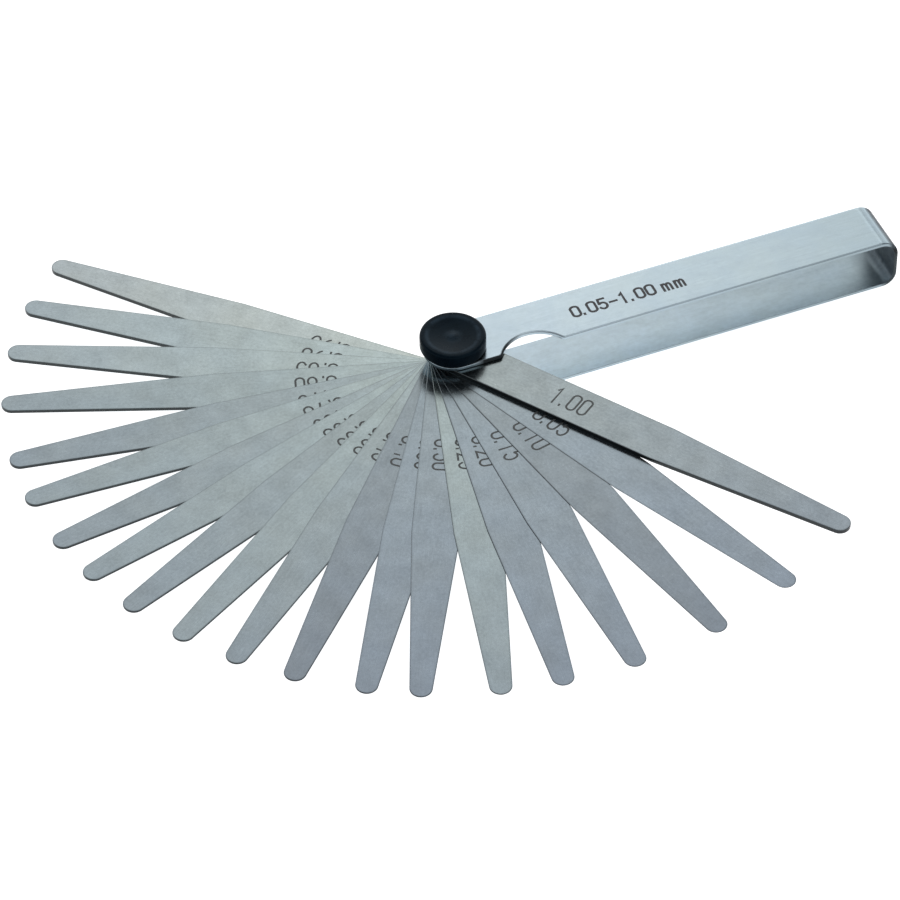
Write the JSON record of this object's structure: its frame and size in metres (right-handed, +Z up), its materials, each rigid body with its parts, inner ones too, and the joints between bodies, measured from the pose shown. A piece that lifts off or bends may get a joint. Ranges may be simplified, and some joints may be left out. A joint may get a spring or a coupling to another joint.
{
  "type": "feeler gauge",
  "caption": "Feeler gauge: tapered steel leaves, marked with their thickness, swing on a stud in a U-bent sheath and are clamped by a round black lock knob.",
  "frame": {"origin": "on the pivot axis, in the plane of the sheath's underside, at the centre of the stud's flush head", "axes": "+Z up along the pivot, towards the lock knob; +X along the sheath, from the pivot to its bend; the leaves are fanned out clockwise from +X as seen from +Z"},
  "size_m": [0.1956, 0.1638, 0.0163],
  "materials": {
    "leaf_steel": "satin ground hardened spring steel, fine mottling, darker edges",
    "zinc_plate": "bright zinc plate with a bluish cast, smooth",
    "stud_steel": "turned steel",
    "black_plastic": "moulded black plastic, semi-matt",
    "brass": "turned brass"
  },
  "bodies": {
    "sheath": {"sheath": "zinc_plate", "pivot_stud": "stud_steel"},
    "washer": {"knob_washer": "stud_steel"},
    "knob": {"lock_knob": "black_plastic", "knob_insert": "brass"},
    "leaf_0_05": {"leaf_0_05": "leaf_steel"},
    "leaf_0_10": {"leaf_0_10": "leaf_steel"},
    "leaf_0_15": {"leaf_0_15": "leaf_steel"},
    "leaf_0_20": {"leaf_0_20": "leaf_steel"},
    "leaf_0_25": {"leaf_0_25": "leaf_steel"},
    "leaf_0_30": {"leaf_0_30": "leaf_steel"},
    "leaf_0_35": {"leaf_0_35": "leaf_steel"},
    "leaf_0_40": {"leaf_0_40": "leaf_steel"},
    "leaf_0_45": {"leaf_0_45": "leaf_steel"},
    "leaf_0_50": {"leaf_0_50": "leaf_steel"},
    "leaf_0_55": {"leaf_0_55": "leaf_steel"},
    "leaf_0_60": {"leaf_0_60": "leaf_steel"},
    "leaf_0_65": {"leaf_0_65": "leaf_steel"},
    "leaf_0_70": {"leaf_0_70": "leaf_steel"},
    "leaf_0_75": {"leaf_0_75": "leaf_steel"},
    "leaf_0_80": {"leaf_0_80": "leaf_steel"},
    "leaf_0_85": {"leaf_0_85": "leaf_steel"},
    "leaf_0_90": {"leaf_0_90": "leaf_steel"},
    "leaf_0_95": {"leaf_0_95": "leaf_steel"},
    "leaf_1_00": {"leaf_1_00": "leaf_steel"}
  },
  "joints": [
    {"name": "leaf_0_05_swing", "type": "hinge", "parent": "sheath", "child": "leaf_0_05", "pos_m": [0, 0, 0.01069], "axis": [0, 0, 1], "range_deg": [-293.2, 66.8]},
    {"name": "leaf_0_10_swing", "type": "hinge", "parent": "sheath", "child": "leaf_0_10", "pos_m": [0, 0, 0.0106], "axis": [0, 0, 1], "range_deg": [-281.8, 78.2]},
    {"name": "leaf_0_15_swing", "type": "hinge", "parent": "sheath", "child": "leaf_0_15", "pos_m": [0, 0, 0.01046], "axis": [0, 0, 1], "range_deg": [-270.4, 89.6]},
    {"name": "leaf_0_20_swing", "type": "hinge", "parent": "sheath", "child": "leaf_0_20", "pos_m": [0, 0, 0.01026], "axis": [0, 0, 1], "range_deg": [-261.2, 98.8]},
    {"name": "leaf_0_25_swing", "type": "hinge", "parent": "sheath", "child": "leaf_0_25", "pos_m": [0, 0, 0.01001], "axis": [0, 0, 1], "range_deg": [-253.6, 106.4]},
    {"name": "leaf_0_30_swing", "type": "hinge", "parent": "sheath", "child": "leaf_0_30", "pos_m": [0, 0, 0.00972], "axis": [0, 0, 1], "range_deg": [-244, 116]},
    {"name": "leaf_0_35_swing", "type": "hinge", "parent": "sheath", "child": "leaf_0_35", "pos_m": [0, 0, 0.00937], "axis": [0, 0, 1], "range_deg": [-237.4, 122.6]},
    {"name": "leaf_0_40_swing", "type": "hinge", "parent": "sheath", "child": "leaf_0_40", "pos_m": [0, 0, 0.00898], "axis": [0, 0, 1], "range_deg": [-228.4, 131.6]},
    {"name": "leaf_0_45_swing", "type": "hinge", "parent": "sheath", "child": "leaf_0_45", "pos_m": [0, 0, 0.00853], "axis": [0, 0, 1], "range_deg": [-220.6, 139.4]},
    {"name": "leaf_0_50_swing", "type": "hinge", "parent": "sheath", "child": "leaf_0_50", "pos_m": [0, 0, 0.00804], "axis": [0, 0, 1], "range_deg": [-212.8, 147.2]},
    {"name": "leaf_0_55_swing", "type": "hinge", "parent": "sheath", "child": "leaf_0_55", "pos_m": [0, 0, 0.00749], "axis": [0, 0, 1], "range_deg": [-204.6, 155.4]},
    {"name": "leaf_0_60_swing", "type": "hinge", "parent": "sheath", "child": "leaf_0_60", "pos_m": [0, 0, 0.0069], "axis": [0, 0, 1], "range_deg": [-196.8, 163.2]},
    {"name": "leaf_0_65_swing", "type": "hinge", "parent": "sheath", "child": "leaf_0_65", "pos_m": [0, 0, 0.00626], "axis": [0, 0, 1], "range_deg": [-189.6, 170.4]},
    {"name": "leaf_0_70_swing", "type": "hinge", "parent": "sheath", "child": "leaf_0_70", "pos_m": [0, 0, 0.00556], "axis": [0, 0, 1], "range_deg": [-180.8, 179.2]},
    {"name": "leaf_0_75_swing", "type": "hinge", "parent": "sheath", "child": "leaf_0_75", "pos_m": [0, 0, 0.00481], "axis": [0, 0, 1], "range_deg": [-173.2, 186.8]},
    {"name": "leaf_0_80_swing", "type": "hinge", "parent": "sheath", "child": "leaf_0_80", "pos_m": [0, 0, 0.00402], "axis": [0, 0, 1], "range_deg": [-162.4, 197.6]},
    {"name": "leaf_0_85_swing", "type": "hinge", "parent": "sheath", "child": "leaf_0_85", "pos_m": [0, 0, 0.00317], "axis": [0, 0, 1], "range_deg": [-152.4, 207.6]},
    {"name": "leaf_0_90_swing", "type": "hinge", "parent": "sheath", "child": "leaf_0_90", "pos_m": [0, 0, 0.00228], "axis": [0, 0, 1], "range_deg": [-143.2, 216.8]},
    {"name": "leaf_0_95_swing", "type": "hinge", "parent": "sheath", "child": "leaf_0_95", "pos_m": [0, 0, 0.00134], "axis": [0, 0, 1], "range_deg": [-134.2, 225.8]},
    {"name": "leaf_1_00_swing", "type": "hinge", "parent": "sheath", "child": "leaf_1_00", "pos_m": [0, 0, 0.01124], "axis": [0, 0, 1], "range_deg": [-304.8, 55.2]},
    {"name": "knob_lift", "type": "slide", "parent": "sheath", "child": "washer", "axis": [0, 0, 1], "range_m": [0, 0.0007]},
    {"name": "knob_turn", "type": "hinge", "parent": "washer", "child": "knob", "pos_m": [0, 0, 0.0133], "axis": [0, 0, 1], "range_deg": [0, 361]}
  ],
  "couplings": [
    {"joint": "knob_turn", "follows": "knob_lift", "rad_per_m": 8976}
  ]
}
